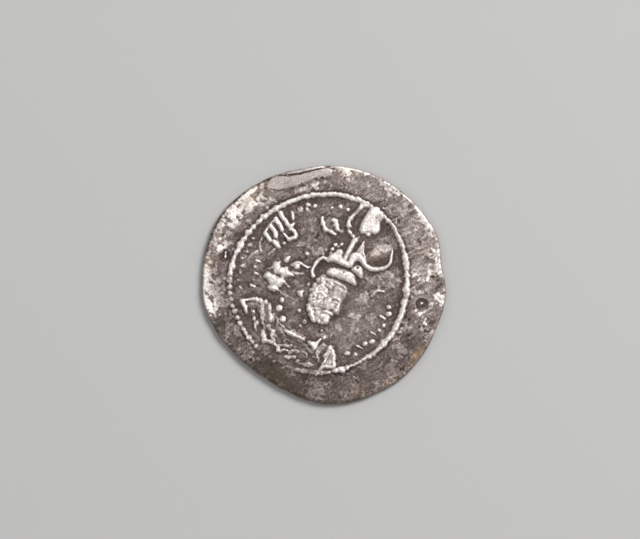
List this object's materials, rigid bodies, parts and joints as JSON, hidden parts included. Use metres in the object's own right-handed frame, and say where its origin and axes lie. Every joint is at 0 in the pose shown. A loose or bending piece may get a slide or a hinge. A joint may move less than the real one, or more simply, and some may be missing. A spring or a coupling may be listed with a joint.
{
  "type": "ancient silver coin",
  "caption": "Hand-struck silver coin with a crowned bust in relief on its upper face and a worn fire altar with attendants below; lies flat.",
  "frame": {"origin": "middle of the coin's bounding box, on the plane of its worn lower face", "axes": "+Z out of the upper face with the bust, +Y towards the top of the bust's crown, +X the way the bust looks"},
  "size_m": [0.0294, 0.028, 0.0013],
  "materials": {
    "silver": "old silver, toned dark brown-grey in the fields and rubbed bright on the relief"
  },
  "bodies": {
    "root": {"coin": "silver"}
  },
  "joints": []
}
